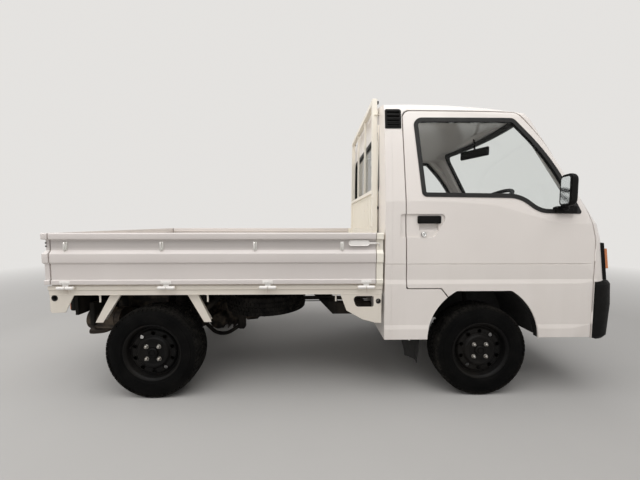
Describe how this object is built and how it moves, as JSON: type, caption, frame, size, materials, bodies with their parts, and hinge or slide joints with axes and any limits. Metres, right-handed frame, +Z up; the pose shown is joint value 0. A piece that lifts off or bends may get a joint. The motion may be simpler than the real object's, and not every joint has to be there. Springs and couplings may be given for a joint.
{
  "type": "kei truck",
  "caption": "Small cab-over truck with a drop-side load bed, a guard frame behind the cab, hinged doors and gates, steered front wheels and a blank number plate.",
  "frame": {"origin": "on the ground below the middle of the truck's length and width", "axes": "+X forward, +Y to the truck's left, +Z up"},
  "size_m": [3.2949, 1.6192, 1.7649],
  "materials": {
    "white_paint": "gloss",
    "bed_paint": "satin",
    "cream_paint": "satin",
    "black_paint": "satin",
    "frame_paint": "satin",
    "floor_paint": "matt",
    "black_plastic": "matt",
    "dash_plastic": "matt",
    "seat_cloth": "woven",
    "window_glass": "clear",
    "lamp_glass": "clear",
    "amber_lens": "gloss",
    "red_lens": "gloss",
    "tyre_rubber": "matt",
    "flap_rubber": "matt",
    "engine_metal": "rough",
    "muffler_steel": "dull",
    "plate_metal": "satin",
    "knuckle_iron": "rough"
  },
  "bodies": {
    "truck": {"chassis_frame": "frame_paint", "cab_floor": "floor_paint", "cab_rear_panel": "white_paint", "cab_front_panel": "white_paint", "cab_roof": "white_paint", "cab_side_panels": "white_paint", "windscreen": "window_glass", "rear_window": "window_glass", "front_bumper": "black_plastic", "headlamp_bezels": "black_plastic", "headlamps": "lamp_glass", "turn_lamps": "amber_lens", "dashboard": "dash_plastic", "seat_cushions": "seat_cloth", "seat_backs": "seat_cloth", "steering_column": "dash_plastic", "interior_mirror": "black_plastic", "bed_floor": "cream_paint", "guard_frame": "cream_paint", "bed_brackets": "cream_paint", "cab_vents": "black_plastic", "window_seals": "flap_rubber", "tail_lamps": "red_lens", "number_plate": "plate_metal", "spare_wheel": "tyre_rubber", "fuel_tank": "black_paint", "engine": "engine_metal", "muffler": "muffler_steel", "rear_suspension": "frame_paint", "front_suspension": "frame_paint", "mud_flaps": "flap_rubber"},
    "left_knuckle": {"knuckle_left": "knuckle_iron"},
    "right_knuckle": {"knuckle_right": "knuckle_iron"},
    "front_left_road_wheel": {"front_left_tyre": "tyre_rubber", "front_left_wheel": "black_paint"},
    "front_right_road_wheel": {"front_right_tyre": "tyre_rubber", "front_right_wheel": "black_paint"},
    "rear_left_road_wheel": {"rear_left_tyre": "tyre_rubber", "rear_left_wheel": "black_paint"},
    "rear_right_road_wheel": {"rear_right_tyre": "tyre_rubber", "rear_right_wheel": "black_paint"},
    "steering_wheel": {"steering_wheel": "black_plastic"},
    "left_door": {"door_left": "white_paint", "door_glass_left": "window_glass", "door_mirror_left": "black_plastic", "door_handle_left": "black_plastic", "door_seal_left": "flap_rubber"},
    "left_side_gate": {"side_gate_left": "bed_paint"},
    "right_door": {"door_right": "white_paint", "door_glass_right": "window_glass", "door_mirror_right": "black_plastic", "door_handle_right": "black_plastic", "door_seal_right": "flap_rubber"},
    "right_side_gate": {"side_gate_right": "bed_paint"},
    "tailgate": {"tailgate": "bed_paint"}
  },
  "joints": [
    {"name": "steer_left", "type": "hinge", "parent": "truck", "child": "left_knuckle", "pos_m": [0.802, 0.52, 0.267], "axis": [0, 0, 1], "range_deg": [-35, 35]},
    {"name": "steer_right", "type": "hinge", "parent": "truck", "child": "right_knuckle", "pos_m": [0.802, -0.52, 0.267], "axis": [0, 0, 1], "range_deg": [-35, 35]},
    {"name": "steering_wheel_turn", "type": "hinge", "parent": "truck", "child": "steering_wheel", "pos_m": [0.978, -0.335, 1.132], "axis": [-0.5, 0, 0.866], "range_deg": [-595, 595]},
    {"name": "front_left_spin", "type": "hinge", "parent": "left_knuckle", "child": "front_left_road_wheel", "pos_m": [0.802, 0.605, 0.267], "axis": [0, 1, 0], "continuous": true},
    {"name": "front_right_spin", "type": "hinge", "parent": "right_knuckle", "child": "front_right_road_wheel", "pos_m": [0.802, -0.605, 0.267], "axis": [0, 1, 0], "continuous": true},
    {"name": "rear_left_spin", "type": "hinge", "parent": "truck", "child": "rear_left_road_wheel", "pos_m": [-1.083, 0.605, 0.267], "axis": [0, 1, 0], "continuous": true},
    {"name": "rear_right_spin", "type": "hinge", "parent": "truck", "child": "rear_right_road_wheel", "pos_m": [-1.083, -0.605, 0.267], "axis": [0, 1, 0], "continuous": true},
    {"name": "left_door_hinge", "type": "hinge", "parent": "truck", "child": "left_door", "pos_m": [1.43, 0.686, 0.7], "axis": [0, 0, -1], "range_deg": [0, 65]},
    {"name": "left_side_gate_hinge", "type": "hinge", "parent": "truck", "child": "left_side_gate", "pos_m": [-0.7, 0.6905, 0.648], "axis": [-1, 0, 0], "range_deg": [0, 170]},
    {"name": "right_door_hinge", "type": "hinge", "parent": "truck", "child": "right_door", "pos_m": [1.43, -0.686, 0.7], "axis": [0, 0, 1], "range_deg": [0, 65]},
    {"name": "right_side_gate_hinge", "type": "hinge", "parent": "truck", "child": "right_side_gate", "pos_m": [-0.7, -0.6905, 0.648], "axis": [1, 0, 0], "range_deg": [0, 170]},
    {"name": "tailgate_hinge", "type": "hinge", "parent": "truck", "child": "tailgate", "pos_m": [-1.6405, 0, 0.648], "axis": [0, -1, 0], "range_deg": [0, 170]}
  ],
  "couplings": [
    {"joint": "steer_right", "follows": "steer_left", "ratio": 1},
    {"joint": "steering_wheel_turn", "follows": "steer_left", "ratio": 17}
  ]
}
